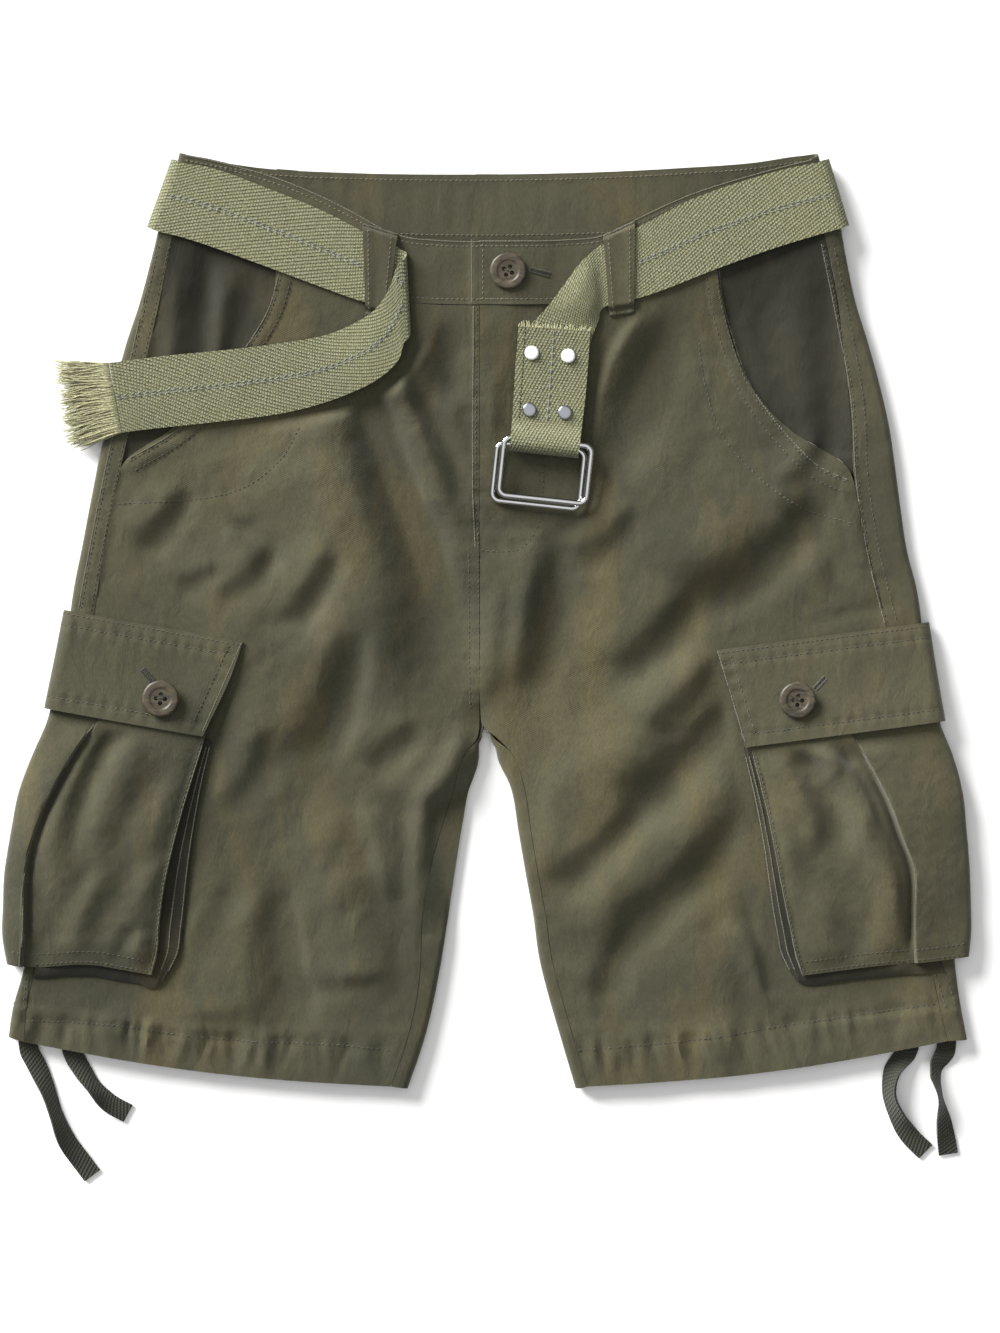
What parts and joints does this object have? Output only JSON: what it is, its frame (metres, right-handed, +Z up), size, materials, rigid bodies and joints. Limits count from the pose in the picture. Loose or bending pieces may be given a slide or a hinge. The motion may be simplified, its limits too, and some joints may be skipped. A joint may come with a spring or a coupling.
{
  "type": "cargo shorts laid flat, with a web belt closed by two rings",
  "caption": "Olive twill cargo shorts laid flat on their back, with slant and flapped cargo pockets, a khaki web belt with metal rings, and hem drawstrings",
  "frame": {"origin": "middle of the garment without its drawstring ends, on the surface it rests on", "axes": "+X to the wearer's left side, +Y to the waist, +Z up out of the surface"},
  "size_m": [0.5816, 0.6181, 0.0211],
  "materials": {
    "olive_twill": "washed cotton twill",
    "olive_twill_dark": "washed cotton twill in the shade of the folds",
    "khaki_web": "coarse cotton web",
    "drawstring_tape": "flat cotton tape",
    "button_brown": "satin",
    "nickel": "polished"
  },
  "bodies": {
    "shorts": {"front_right": "olive_twill", "front_left": "olive_twill", "back_right": "olive_twill", "back_left": "olive_twill", "waistband": "olive_twill", "belt_loop_front_right": "olive_twill", "belt_loop_front_left": "olive_twill", "belt_loop_back_right": "olive_twill", "belt_loop_back_centre": "olive_twill", "belt_loop_back_left": "olive_twill", "cargo_face_right": "olive_twill", "cargo_face_left": "olive_twill", "cargo_flap_right": "olive_twill", "cargo_flap_left": "olive_twill", "pocket_facing_right": "olive_twill_dark", "pocket_facing_left": "olive_twill_dark", "cargo_gusset_right": "olive_twill_dark", "cargo_gusset_left": "olive_twill_dark", "belt": "khaki_web", "belt_fringe": "khaki_web", "drawstring_right_outer": "drawstring_tape", "drawstring_right_inner": "drawstring_tape", "drawstring_left_inner": "drawstring_tape", "drawstring_left_outer": "drawstring_tape", "waist_button": "button_brown", "cargo_button_right": "button_brown", "cargo_button_left": "button_brown", "rivet_1": "nickel", "rivet_2": "nickel", "rivet_3": "nickel", "rivet_4": "nickel"},
    "rings": {"ring_lower": "nickel", "ring_upper": "nickel"}
  },
  "joints": [
    {"name": "ring_swing", "type": "hinge", "parent": "shorts", "child": "rings", "pos_m": [0.0346, 0.1054, 0.015], "axis": [-0.9942, 0.108, 0], "range_deg": [0, 165]}
  ]
}
